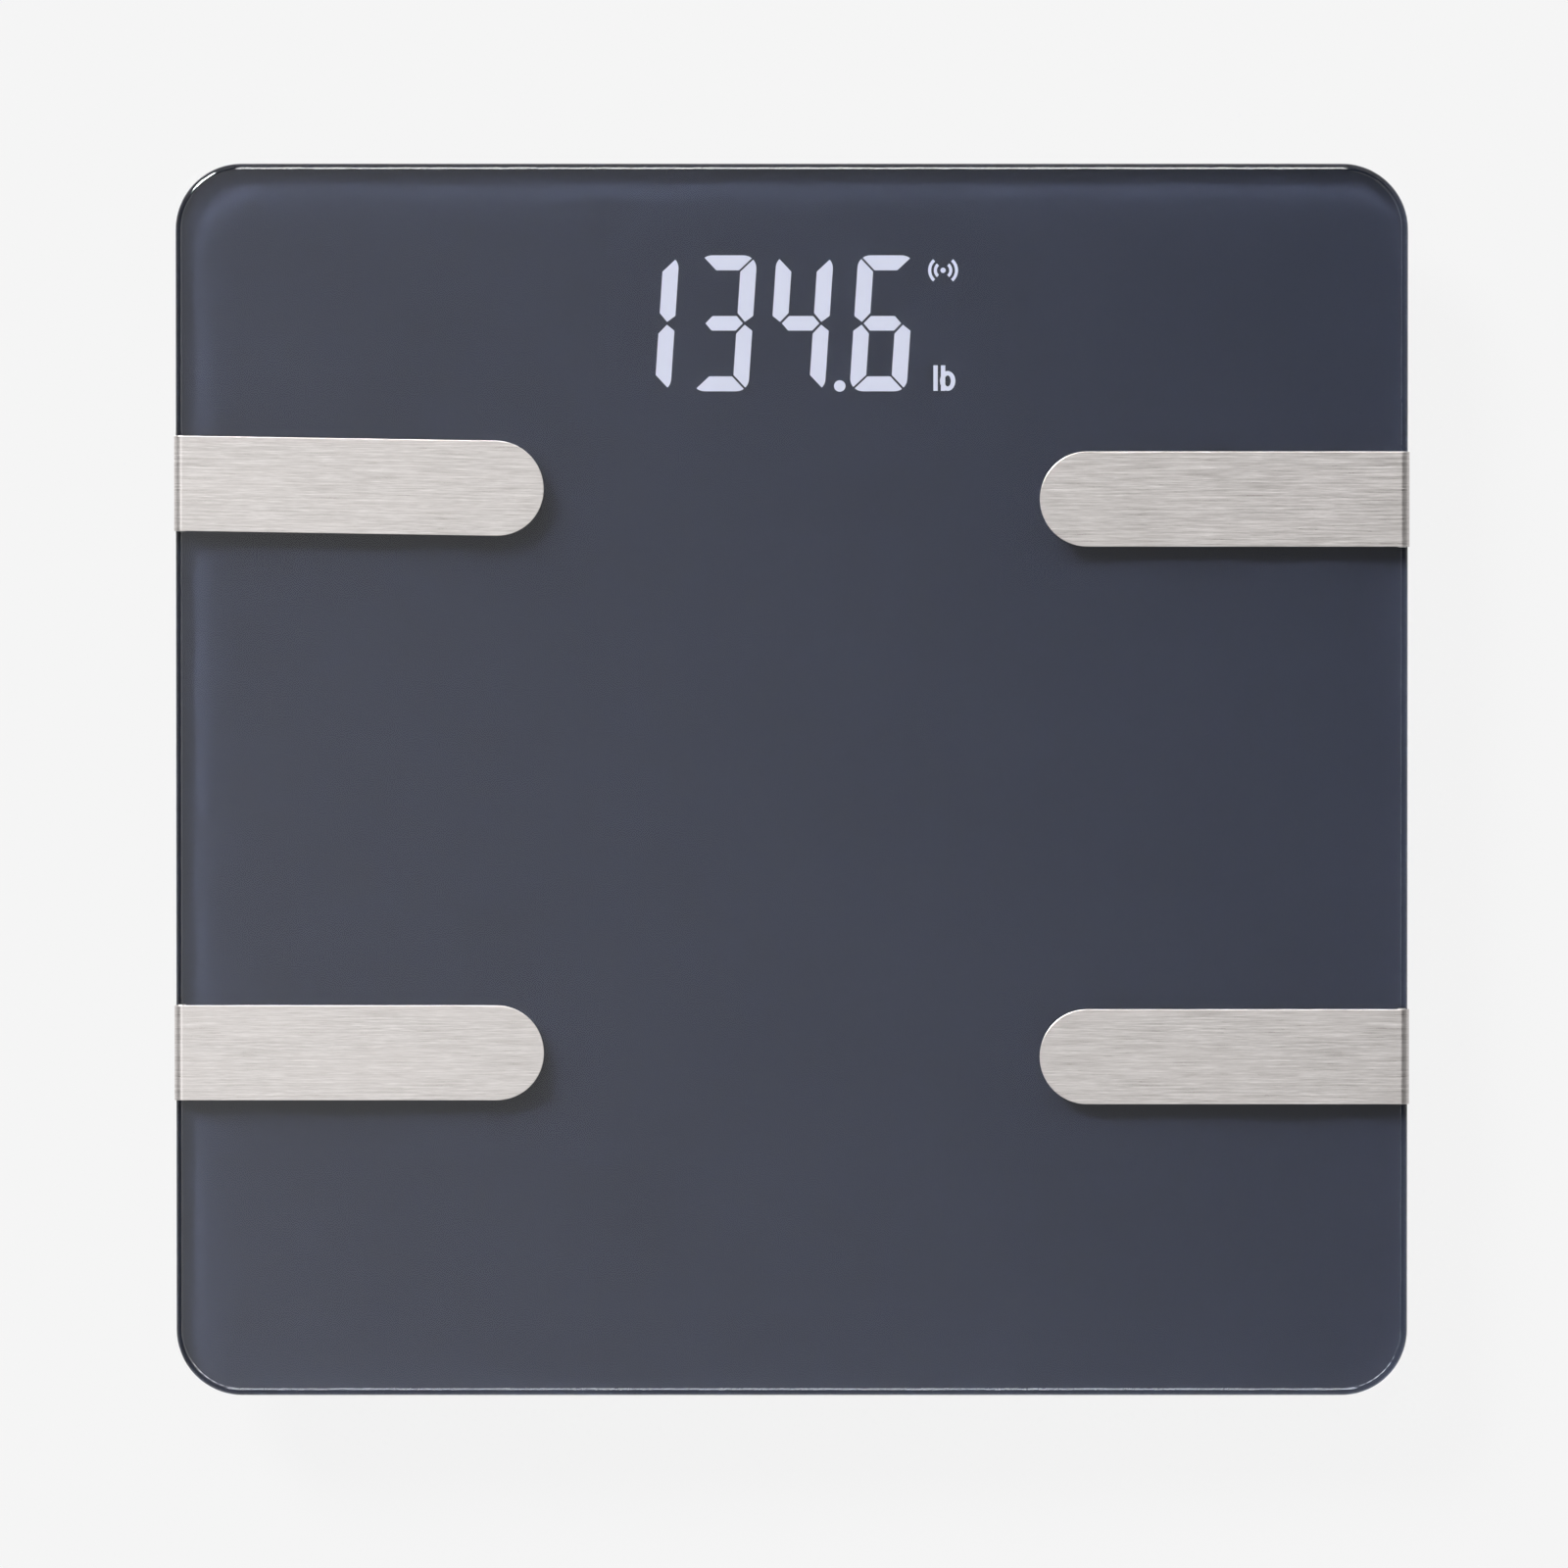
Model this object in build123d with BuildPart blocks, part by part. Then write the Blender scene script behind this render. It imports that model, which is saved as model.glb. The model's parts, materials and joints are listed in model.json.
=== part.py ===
from build123d import *
import math
import os

os.makedirs("parts", exist_ok=True)

# Frame: origin on the floor under the middle of the scale, +Z up, +Y towards the display
# (the toe end), +X to the right of somebody standing on it. All sizes are in millimetres.

# Glass platform and the layers bonded to it
glass_side = 280.0
glass_thickness = 6.0
glass_corner = 15.0
glass_edge = 1.6
print_inset = 1.2
print_thickness = 0.2
rim_tape_thickness = 0.6
rim_tape_margin = 0.2

# Heights above the floor
tray_bottom = 4.4
tray_floor = 2.2
rim_top = 18.9
floor_top = tray_bottom + tray_floor
print_bottom = rim_top + rim_tape_thickness
glass_bottom = print_bottom + print_thickness
glass_top = glass_bottom + glass_thickness

# Base tray
tray_rim_side = 266.0
tray_foot_side = 254.0
tray_rim_corner = 12.0
tray_foot_corner = 9.0
tray_wall = 2.2
tray_round = 2.0
rib_thickness = 1.6
rib_top = 14.0
rib_x = 20.0
ribs_along_y = [(50.0, 52.0), (-72.0, 96.0)]
ribs_along_x = [-48.0, -96.0]
panel_y = -66.0
panel_size = (84.0, 46.0)
panel_corner = 4.0
panel_depth = 0.4
groove_inner = 1.4
groove_outer = 2.2
groove_depth = 0.5

# Electrodes: stainless strips that wrap round the left and right edges of the glass
strip_width = 21.6
strip_thickness = 0.3
strip_tape = 0.1
strip_tape_inset = 0.4
strip_inner_x = 56.3
strip_return_x = 125.0
strip_outer_x = glass_side / 2 + strip_tape + strip_thickness
strip_bend = glass_edge + strip_tape + strip_thickness
strip_notch = 3.0
strip_overrun = 2.0
strips = [
    ("electrode_toe_left", -1, 67.4, -0.9),
    ("electrode_toe_right", 1, 63.8, 0.0),
    ("electrode_heel_left", -1, -62.0, 0.0),
    ("electrode_heel_right", 1, -62.9, 0.0),
]

# Seven-segment display
digit_half_width = 6.5
digit_half_height = 15.45
digit_round = 2.9
digit_slant = math.tan(math.radians(3.8))
digit_middle_y = 103.85
digit_centres = [-33.1, -15.4, 2.0, 20.6]
reading = "1346"
lit_letters = {"1": "bc", "3": "abcdg", "4": "bcfg", "6": "acdefg"}
upright = 3.6
crossbar = 3.4
middle_bar_half = 1.65
mitre_gap = 0.32
bar_point_trim = 0.45
bar_shoulder_trim = 0.15
upright_foot = 0.7
upright_shoulder = 0.05
point_x = 10.9
point_y = 89.6
point_radius = 1.3
point_slots = [-24.2, -6.6, 10.9]
unit_x = 32.2
unit_bottom = 88.5
unit_height = 5.8
unit_stroke = 1.0
unit_pitch = 1.7
bowl_x = 3.25
bowl_radii = (1.75, 2.25)
bowl_hole_radii = (0.7, 1.25)
signal_x = 34.4
signal_y = 115.9
signal_dot = 0.6
signal_arcs = (1.75, 3.05)
signal_stroke = 0.7
signal_half_angle = 48
symbol_block = (8.4, 7.6)

# Display body and board
board_x = 0.0
board_y = 103.0
board_length = 102.0
board_width = 42.0
board_bottom = 11.1
board_thickness = 1.2
board_top = board_bottom + board_thickness
board_post_x = 47.0
board_post_y = 17.5
board_post_radius = 3.0
board_screw_radius = 0.98
board_screw_head = 2.3
board_screw_start = floor_top + 0.8
reflector_x = -1.5
reflector_y = 103.5
reflector_length = 84.0
reflector_width = 38.0
reflector_top = 19.3
segment_bottom = 13.2
led_size = (1.6, 0.8)
led_height = 0.6

# Feet and load cells
foot_centre = 98.0
foot_radius = 21.0
foot_bottom = 1.2
foot_rim_top = 8.0
foot_travel = 0.5
foot_hole_radius = 22.3
foot_collar_radius = 24.5
foot_collar_top = 10.0
boss_radius = 5.0
pad_radius = 18.0
pad_thickness = 1.8
pad_recess = 0.6
pad_rings = (7.0, 10.5, 14.0)
pad_ring_width = 1.2
pad_ring_depth = 0.5
foot_web = 2.4
foot_wall = 1.8
foot_rib_height = 3.6
foot_rib_thickness = 1.4
cell_side = 34.0
cell_bottom = 11.9
cell_thickness = 1.5
cell_top = cell_bottom + cell_thickness
cell_hole = 1.7
cell_screw_pitch = 26.0
carrier_side = 42.0
carrier_hollow_radius = 14.0
carrier_hollow_depth = 3.2
cell_screw_grip = 4.0
cell_screw_head = 2.5
cell_screw_head_height = 1.2
cross_slot = (3.0, 0.6)
screw_shank = 1.3
screw_hole = 1.4
corners = [
    ("toe_left", -1, 1),
    ("toe_right", 1, 1),
    ("heel_left", -1, -1),
    ("heel_right", 1, -1),
]

# Battery bay, three AAA cells side by side along X
battery_length = 44.5
battery_radius = 5.25
battery_pitch = 11.2
battery_z = 11.75
nub_radius = 1.9
nub_length = 0.9
can_end_radius = 3.4
can_end_length = 0.4
contact_thickness = 0.4
spring_length = 5.5
coil_wire = 0.3
coil_radius = 3.0
coil_pitch = 1.55
contact_dimple = 0.5
dimple_radius = 1.5
plate_height = 8.6
plate_corner = 1.2
bay_half_length = (battery_length + spring_length + contact_dimple) / 2 + contact_thickness
bay_half_width = battery_pitch + battery_radius + 0.65
bay_wall = 1.8
bay_roof_bottom = 17.3
bay_roof_top = 18.5
ledge_top = 7.8
ledge_margin = 4.0
lead_hole_radius = 1.1

# Battery door, hinged on two end tabs along its heel edge
door_length = 58.0
door_thickness = 1.8
door_hinge_y = -19.6
door_far_y = 20.4
door_gap = 0.3
door_axis_z = tray_bottom + door_thickness / 2
tab_radius = 0.6
tab_bore = 0.67
tab_reach = 1.6
latch_width = 13.0
latch_slit = 0.8
latch_length = 10.0
latch_room = 5.0
nose_height = 1.1
nose_depth = 1.4
nose_setback = 1.7
grip_pitch = 2.2
scoop_radius = 9.0
scoop_depth = 1.4

# Unit button and its switch
button_x = 33.0
button_y = 92.0
button_radius = 4.5
button_bottom = 4.6
button_travel = 0.4
flange_bottom = floor_top + 0.15
flange_top = 7.35
flange_radius = 6.0
plunger_radius = 1.6
plunger_top = 8.8
switch_bottom = 8.1
switch_side = 6.0
button_gap = 0.4
button_dish_radius = 2.6
button_dish_depth = 0.3
ring_wall = 1.2

# Insulated leads
cell_lead_radius = 0.5
battery_lead_radius = 0.65
lead_pitch = 1.5


def save(builder, name):
    """Label a finished sub-part and write its STEP file."""
    builder.part.label = name
    export_step(builder.part, f"parts/{name}.step")


# ---------------------------------------------------------------- display shapes
def segment_corners(letter):
    """Corners of one segment of an upright digit whose middle is at the origin."""
    node_x = digit_half_width - upright / 2
    inner_x = digit_half_width - upright
    inner_y = digit_half_height - crossbar
    if letter == "g":
        shoulder_x = inner_x - bar_shoulder_trim
        quarter = [(node_x - bar_point_trim, 0), (shoulder_x, middle_bar_half)]
        upper = quarter + [(-x, y) for x, y in reversed(quarter)]
        return upper + [(-shoulder_x, -middle_bar_half), (shoulder_x, -middle_bar_half)]
    if letter in "ad":
        half_top = inner_x + crossbar - mitre_gap
        half_bottom = inner_x - mitre_gap
        shape = [
            (-half_top, digit_half_height),
            (half_top, digit_half_height),
            (half_bottom, inner_y),
            (-half_bottom, inner_y),
        ]
    else:
        shape = [
            (digit_half_width, inner_y + upright - mitre_gap),
            (inner_x, inner_y - mitre_gap),
            (inner_x, middle_bar_half + upright_foot),
            (node_x, mitre_gap),
            (digit_half_width, middle_bar_half + upright_shoulder),
        ]
    flip_x = -1 if letter in "ef" else 1
    flip_y = -1 if letter in "cde" else 1
    return [(flip_x * x, flip_y * y) for x, y in shape]


def slanted(points, centre_x):
    """Lean points of an upright digit to the right and move them to the digit's place."""
    return [(centre_x + x + digit_slant * y, digit_middle_y + y) for x, y in points]


def digit_outline(centre_x):
    """Outline that rounds a digit's four outer corners."""
    w, h = digit_half_width, digit_half_height
    with BuildSketch() as outline:
        with BuildLine():
            Polyline(*slanted([(-w, -h), (w, -h), (w, h), (-w, h)], centre_x), close=True)
        make_face()
        fillet(outline.vertices(), digit_round)
    return outline.sketch_local


def digit(letters, centre_x):
    """The named segments of one digit."""
    rounded = digit_outline(centre_x)
    with BuildSketch() as shape:
        for letter in letters:
            with BuildLine():
                Polyline(*slanted(segment_corners(letter), centre_x), close=True)
            make_face()
        add(rounded, mode=Mode.INTERSECT)
    return shape.sketch_local


def chosen_segments(lit):
    """Every lit segment of the reading, or every dark one."""
    faces = []
    for figure, centre_x in zip(reading, digit_centres):
        shown = lit_letters[figure]
        letters = [letter for letter in "abcdefg" if (letter in shown) == lit]
        faces.append(digit(letters, centre_x))
    points = [x for x in point_slots if (x == point_x) == lit]
    with BuildSketch() as shapes:
        add(faces)
        with Locations(*[(x, point_y) for x in points]):
            Circle(point_radius)
    return shapes.sketch_local


def unit_mark():
    """The small pound mark, as a plain stroke and a stroke with a bowl."""
    stroke_y = unit_bottom + unit_height / 2
    with BuildSketch() as mark:
        with Locations((unit_x + unit_stroke / 2, stroke_y)):
            Rectangle(unit_stroke, unit_height)
        with Locations((unit_x + bowl_x, unit_bottom + bowl_radii[1])):
            Ellipse(*bowl_radii)
            Ellipse(*bowl_hole_radii, mode=Mode.SUBTRACT)
        with Locations((unit_x + unit_stroke / 2 + unit_pitch, stroke_y)):
            Rectangle(unit_stroke, unit_height)
    return mark.sketch_local


def signal_mark():
    """A dot between two pairs of arcs, for the wireless link."""
    centre = Vector(signal_x, signal_y)
    with BuildSketch() as mark:
        with Locations(centre):
            Circle(signal_dot)
        for arc_radius in signal_arcs:
            inner = arc_radius - signal_stroke / 2
            outer = arc_radius + signal_stroke / 2
            for facing in (0, 180):
                first = facing - signal_half_angle
                with BuildLine():
                    CenterArc(centre, outer, first, 2 * signal_half_angle)
                    CenterArc(centre, inner, first, 2 * signal_half_angle)
                    for end in (first, facing + signal_half_angle):
                        aim = Vector(math.cos(math.radians(end)), math.sin(math.radians(end)))
                        Line(centre + aim * inner, centre + aim * outer)
                make_face()
    return mark.sketch_local


lit_shapes = chosen_segments(True)
dark_shapes = chosen_segments(False)
unit_shapes = unit_mark()
signal_shapes = signal_mark()
symbol_places = [(unit_x + 2.5, unit_bottom + unit_height / 2), (signal_x, signal_y)]


# ---------------------------------------------------------------- platform layers
with BuildPart() as glass_platform:
    with BuildSketch(Plane.XY.offset(glass_bottom)):
        RectangleRounded(glass_side, glass_side, glass_corner)
    extrude(amount=glass_thickness)
    fillet(glass_platform.faces().filter_by(Axis.Z).edges(), glass_edge)
save(glass_platform, "glass_platform")

with BuildPart() as back_print:
    with BuildSketch(Plane.XY.offset(print_bottom)):
        print_side = glass_side - 2 * print_inset
        RectangleRounded(print_side, print_side, glass_corner - print_inset)
        for _, side, strip_y, _ in strips:
            with Locations((side * glass_side / 2, strip_y)):
                Rectangle(2 * strip_bend, strip_width + strip_tape, mode=Mode.SUBTRACT)
        add(lit_shapes, mode=Mode.SUBTRACT)
        add(unit_shapes, mode=Mode.SUBTRACT)
        add(signal_shapes, mode=Mode.SUBTRACT)
    extrude(amount=print_thickness)
save(back_print, "back_print")

with BuildPart() as rim_tape:
    with BuildSketch(Plane.XY.offset(rim_top)):
        tape_side = tray_rim_side - 2 * rim_tape_margin
        RectangleRounded(tape_side, tape_side, tray_rim_corner)
        hole_side = tray_rim_side - 2 * tray_wall + 2 * rim_tape_margin
        RectangleRounded(hole_side, hole_side, tray_rim_corner - tray_wall, mode=Mode.SUBTRACT)
        for _, side, strip_y, _ in strips:
            with Locations((side * tray_rim_side / 2, strip_y)):
                Rectangle(8 * tray_wall, strip_width + strip_notch, mode=Mode.SUBTRACT)
    extrude(amount=rim_tape_thickness)
save(rim_tape, "rim_tape")


def strip_outline(side, strip_y, tilt, inset):
    """Plan of one electrode: square at the edge of the glass, half round at its inner end."""
    width = strip_width - 2 * inset
    root_x = strip_outer_x + strip_overrun
    length = root_x - strip_inner_x - strip_width / 2
    with BuildSketch() as outline:
        with Locations(Location((side * root_x, strip_y), tilt)):
            with Locations((-side * length / 2, 0)):
                Rectangle(length, width)
            with Locations((-side * length, 0)):
                Circle(width / 2)
    return outline.sketch_local


def wrap_profile(side, depth):
    """Path of a strip's outer or inner face, depth below its outer face."""
    top = glass_top + strip_tape + strip_thickness - depth
    low = print_bottom - strip_thickness + depth
    far_x = strip_outer_x - depth
    return [
        (side * (strip_inner_x - strip_overrun), top),
        (side * far_x, top),
        (side * far_x, low),
        (side * strip_return_x, low),
    ]


for name, side, strip_y, tilt in strips:
    outer_path = wrap_profile(side, 0)
    inner_path = wrap_profile(side, strip_thickness)
    plan = strip_outline(side, strip_y, tilt, 0)
    with BuildPart() as electrode:
        with BuildSketch(Plane(origin=(0, strip_y, 0), x_dir=(1, 0, 0), z_dir=(0, -1, 0))):
            with BuildLine():
                FilletPolyline(*outer_path, radius=strip_bend)
                FilletPolyline(*inner_path, radius=strip_bend - strip_thickness)
                Line(outer_path[0], inner_path[0])
                Line(outer_path[-1], inner_path[-1])
            make_face()
        extrude(amount=strip_width, both=True)
        with BuildSketch(Plane.XY.offset(rim_top)):
            add(plan)
        extrude(amount=glass_top - rim_top + strip_overrun, mode=Mode.INTERSECT)
    save(electrode, name)

with BuildPart() as electrode_tape:
    with BuildSketch(Plane.XY.offset(glass_top)):
        for _, side, strip_y, tilt in strips:
            add(strip_outline(side, strip_y, tilt, strip_tape_inset))
        flat_side = glass_side - 2 * glass_edge
        Rectangle(flat_side, flat_side, mode=Mode.INTERSECT)
    extrude(amount=strip_tape)
save(electrode_tape, "electrode_tape")


# ---------------------------------------------------------------- base tray
foot_places = [(side_x * foot_centre, side_y * foot_centre) for _, side_x, side_y in corners]
board_posts = [
    (board_x + side_x * board_post_x, board_y + side_y * board_post_y)
    for _, side_x, side_y in corners
]
door_middle_y = (door_hinge_y + door_far_y) / 2
recess_heel_y = door_hinge_y - door_thickness / 2 - door_gap
recess_toe_y = door_far_y + door_gap

with BuildPart() as base_tray:
    # tapered shell
    with BuildSketch(Plane.XY.offset(tray_bottom)):
        RectangleRounded(tray_foot_side, tray_foot_side, tray_foot_corner)
    with BuildSketch(Plane.XY.offset(rim_top)):
        RectangleRounded(tray_rim_side, tray_rim_side, tray_rim_corner)
    loft()
    fillet(base_tray.faces().sort_by(Axis.Z)[0].edges(), tray_round)
    taper = (tray_rim_side - tray_foot_side) * tray_floor / (rim_top - tray_bottom)
    inner_foot_side = tray_foot_side + taper - 2 * tray_wall
    inner_rim_side = tray_rim_side - 2 * tray_wall
    with BuildSketch(Plane.XY.offset(floor_top)):
        RectangleRounded(inner_foot_side, inner_foot_side, tray_foot_corner - tray_wall)
    with BuildSketch(Plane.XY.offset(rim_top)):
        RectangleRounded(inner_rim_side, inner_rim_side, tray_rim_corner - tray_wall)
    loft(mode=Mode.SUBTRACT)
    # stiffening ribs each side of the battery bay
    with BuildSketch(Plane.XY.offset(floor_top)):
        for rib_y, rib_length in ribs_along_y:
            with Locations((-rib_x, rib_y), (rib_x, rib_y)):
                Rectangle(rib_thickness, rib_length)
        with Locations(*[(0, rib_y) for rib_y in ribs_along_x]):
            Rectangle(2 * rib_x, rib_thickness)
    extrude(amount=rib_top - floor_top)
    # collars round the feet, posts under the board, ring round the unit button
    with BuildSketch(Plane.XY.offset(floor_top)):
        with Locations(*foot_places):
            Circle(foot_collar_radius)
    extrude(amount=foot_collar_top - floor_top)
    with BuildSketch(Plane.XY.offset(floor_top)):
        with Locations(*board_posts):
            Circle(board_post_radius)
    extrude(amount=board_bottom - floor_top)
    with BuildSketch(Plane.XY.offset(floor_top)):
        with Locations((button_x, button_y)):
            Circle(flange_radius + button_gap + ring_wall)
            Circle(flange_radius + button_gap, mode=Mode.SUBTRACT)
    extrude(amount=1.0)
    # battery bay and the ledge that its door closes on
    with BuildSketch(Plane.XY.offset(floor_top)):
        Rectangle(2 * (bay_half_length + bay_wall), 2 * (bay_half_width + bay_wall))
    extrude(amount=bay_roof_top - floor_top)
    with BuildSketch(Plane.XY.offset(floor_top)):
        with Locations((0, door_middle_y)):
            Rectangle(door_length + 2 * ledge_margin, door_far_y - door_hinge_y + 2 * ledge_margin)
    extrude(amount=ledge_top - floor_top)
    with BuildSketch(Plane.XY.offset(tray_bottom)):
        Rectangle(2 * bay_half_length, 2 * bay_half_width)
    extrude(amount=bay_roof_bottom - tray_bottom, mode=Mode.SUBTRACT)
    with BuildSketch(Plane.XY.offset(tray_bottom)):
        with Locations((0, (recess_heel_y + recess_toe_y) / 2)):
            Rectangle(door_length + 2 * door_gap, recess_toe_y - recess_heel_y)
    extrude(amount=door_thickness + 0.2, mode=Mode.SUBTRACT)
    # room for the door's latch, a scoop for a fingertip, and the bores of the hinge tabs
    with BuildSketch(Plane.XY.offset(tray_bottom)):
        with Locations((0, door_far_y - latch_room / 2 + door_gap)):
            Rectangle(latch_width + 2 * latch_slit, latch_room)
    extrude(amount=ledge_top - tray_bottom, mode=Mode.SUBTRACT)
    with BuildSketch(Plane.XY.offset(tray_bottom)):
        with Locations((0, recess_toe_y)):
            Circle(scoop_radius)
    extrude(amount=scoop_depth, mode=Mode.SUBTRACT)
    with BuildSketch(Plane.YZ.offset(-door_length / 2 - tab_reach - 0.5)):
        with Locations((door_hinge_y, door_axis_z)):
            Circle(tab_bore)
    extrude(amount=door_length + 2 * tab_reach + 1.0, mode=Mode.SUBTRACT)
    # holes for the feet, the button, the board screws and the two battery leads
    with BuildSketch(Plane.XY.offset(tray_bottom)):
        with Locations(*foot_places):
            Circle(foot_hole_radius)
    extrude(amount=foot_collar_top - tray_bottom, mode=Mode.SUBTRACT)
    with BuildSketch(Plane.XY.offset(tray_bottom)):
        with Locations((button_x, button_y)):
            Circle(button_radius + button_gap)
    extrude(amount=tray_floor, mode=Mode.SUBTRACT)
    with BuildSketch(Plane.XY.offset(board_screw_start - 0.4)):
        with Locations(*board_posts):
            Circle(board_screw_radius + 0.07)
    extrude(amount=board_bottom - floor_top, mode=Mode.SUBTRACT)
    for side in (-1, 1):
        wall_plane = Plane.YZ.offset(side * (bay_half_length + bay_wall / 2))
        with BuildSketch(wall_plane):
            with Locations((side * battery_pitch, battery_z)):
                Circle(lead_hole_radius)
        extrude(amount=bay_wall, both=True, mode=Mode.SUBTRACT)
    # shallow panel with rounded corners on the underside, and a ring groove round each foot
    with BuildSketch(Plane.XY.offset(tray_bottom)):
        with Locations((0, panel_y)):
            RectangleRounded(*panel_size, panel_corner)
    extrude(amount=panel_depth, mode=Mode.SUBTRACT)
    with BuildSketch(Plane.XY.offset(tray_bottom)):
        with Locations(*foot_places):
            Circle(foot_hole_radius + groove_outer)
            Circle(foot_hole_radius + groove_inner, mode=Mode.SUBTRACT)
    extrude(amount=groove_depth, mode=Mode.SUBTRACT)
save(base_tray, "base_tray")


# ---------------------------------------------------------------- battery door
with BuildPart() as battery_door:
    with BuildSketch(Plane.YZ.offset(-door_length / 2)):
        with Locations((door_middle_y, door_axis_z)):
            Rectangle(door_far_y - door_hinge_y, door_thickness)
        with Locations((door_hinge_y, door_axis_z)):
            Circle(door_thickness / 2)
    extrude(amount=door_length)
    toe_edges = battery_door.edges().filter_by(Axis.Z).group_by(Axis.Y)[-1]
    fillet(toe_edges, 2.0)
    with BuildSketch(Plane.YZ.offset(-door_length / 2 - tab_reach)):
        with Locations((door_hinge_y, door_axis_z)):
            Circle(tab_radius)
    extrude(amount=door_length + 2 * tab_reach)
    # spring latch: a tongue between two slits, with a nose on top
    with BuildSketch(Plane.XY.offset(tray_bottom)):
        for side in (-1, 1):
            with Locations((side * latch_width / 2, door_far_y - latch_length / 2)):
                Rectangle(latch_slit, latch_length)
    extrude(amount=door_thickness, mode=Mode.SUBTRACT)
    with BuildSketch(Plane.XY.offset(tray_bottom + door_thickness)):
        with Locations((0, door_far_y - nose_setback)):
            Rectangle(latch_width - 2.0, nose_depth)
    extrude(amount=nose_height)
    # grip grooves across the latch
    with BuildSketch(Plane.XY.offset(tray_bottom)):
        for step in range(3):
            with Locations((0, door_far_y - 3.0 - grip_pitch * step)):
                Rectangle(latch_width - 3.0, 1.0)
    extrude(amount=0.5, mode=Mode.SUBTRACT)
save(battery_door, "battery_door")


# ---------------------------------------------------------------- batteries and contacts
cell_rows = [("battery_heel", -1, 1), ("battery_middle", 0, -1), ("battery_toe", 1, 1)]

for name, row, facing in cell_rows:
    row_y = row * battery_pitch
    nub_x = facing * (bay_half_length - contact_thickness - contact_dimple)
    with BuildPart() as battery:
        with BuildSketch(Plane(origin=(nub_x, row_y, battery_z), z_dir=(-facing, 0, 0))):
            Circle(nub_radius)
        extrude(amount=nub_length)
        shoulder_x = nub_x - facing * nub_length
        with BuildSketch(Plane(origin=(shoulder_x, row_y, battery_z), z_dir=(-facing, 0, 0))):
            Circle(battery_radius)
        extrude(amount=battery_length - nub_length - can_end_length)
        fillet(battery.edges().filter_by(GeomType.CIRCLE).sort_by(SortBy.RADIUS)[-2:], 0.5)
        end_x = nub_x - facing * battery_length
        with BuildSketch(Plane(origin=(end_x, row_y, battery_z), z_dir=(facing, 0, 0))):
            Circle(can_end_radius)
        extrude(amount=can_end_length + 0.2)
    save(battery, name)

with BuildPart() as battery_springs:
    for _, row, facing in cell_rows:
        wall_x = -facing * (bay_half_length - contact_thickness - coil_wire)
        with BuildLine() as coil:
            Helix(
                pitch=coil_pitch,
                height=spring_length - 2 * coil_wire - 0.1,
                radius=coil_radius,
                center=(wall_x, row * battery_pitch, battery_z),
                direction=(facing, 0, 0),
            )
        with BuildSketch(Plane(origin=coil.line @ 0, z_dir=coil.line % 0)):
            Circle(coil_wire)
        sweep(path=coil.line, is_frenet=True)
save(battery_springs, "battery_springs")

with BuildPart() as battery_plates:
    plate_x = bay_half_length - contact_thickness
    plate_sets = [(-1, -1.0, 9.4), (-1, 0.5, 20.6), (1, -0.5, 20.6), (1, 1.0, 9.4)]
    for side, row, plate_width in plate_sets:
        with BuildSketch(Plane.YZ.offset(side * plate_x)):
            with Locations((row * battery_pitch, battery_z)):
                RectangleRounded(plate_width, plate_height, plate_corner)
        extrude(amount=side * contact_thickness)
    for _, row, facing in cell_rows:
        with BuildSketch(Plane.YZ.offset(facing * plate_x)):
            with Locations((row * battery_pitch, battery_z)):
                Circle(dimple_radius)
        extrude(amount=-facing * contact_dimple)
save(battery_plates, "battery_plates")


# ---------------------------------------------------------------- board and display
with BuildPart() as main_board:
    with BuildSketch(Plane.XY.offset(board_bottom)):
        with Locations((board_x, board_y)):
            RectangleRounded(board_length, board_width, 2.0)
        with Locations(*board_posts):
            Circle(board_screw_radius + 0.22, mode=Mode.SUBTRACT)
    extrude(amount=board_thickness)
save(main_board, "main_board")

with BuildPart() as board_screws:
    with BuildSketch(Plane.XY.offset(board_screw_start)):
        with Locations(*board_posts):
            Circle(board_screw_radius)
    extrude(amount=board_top - board_screw_start)
    with BuildSketch(Plane.XY.offset(board_top)):
        with Locations(*board_posts):
            Circle(board_screw_head)
    extrude(amount=1.3)
    fillet(board_screws.faces().sort_by(Axis.Z)[-4:].edges(), 0.4)
    with BuildSketch(Plane.XY.offset(board_top + 0.6)):
        with Locations(*board_posts):
            Rectangle(2.6, 0.5)
            Rectangle(0.5, 2.6)
    extrude(amount=1.0, mode=Mode.SUBTRACT)
save(board_screws, "board_screws")

with BuildPart() as display_reflector:
    with BuildSketch(Plane.XY.offset(board_top)):
        with Locations((reflector_x, reflector_y)):
            RectangleRounded(reflector_length, reflector_width, 1.0)
        add(lit_shapes, mode=Mode.SUBTRACT)
        add(dark_shapes, mode=Mode.SUBTRACT)
        with Locations(*symbol_places):
            Rectangle(*symbol_block, mode=Mode.SUBTRACT)
    extrude(amount=reflector_top - board_top)
save(display_reflector, "display_reflector")

with BuildPart() as lit_segments:
    with BuildSketch(Plane.XY.offset(segment_bottom)):
        add(lit_shapes)
    extrude(amount=glass_bottom - segment_bottom)
save(lit_segments, "lit_segments")

with BuildPart() as dark_segments:
    with BuildSketch(Plane.XY.offset(segment_bottom)):
        add(dark_shapes)
    extrude(amount=reflector_top - segment_bottom)
save(dark_segments, "dark_segments")

with BuildPart() as lit_symbols:
    with BuildSketch(Plane.XY.offset(segment_bottom)):
        with Locations(*symbol_places):
            Rectangle(*symbol_block)
    extrude(amount=reflector_top - segment_bottom)
    with BuildSketch(Plane.XY.offset(reflector_top)):
        add(unit_shapes)
        add(signal_shapes)
    extrude(amount=glass_bottom - reflector_top)
save(lit_symbols, "lit_symbols")

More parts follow.
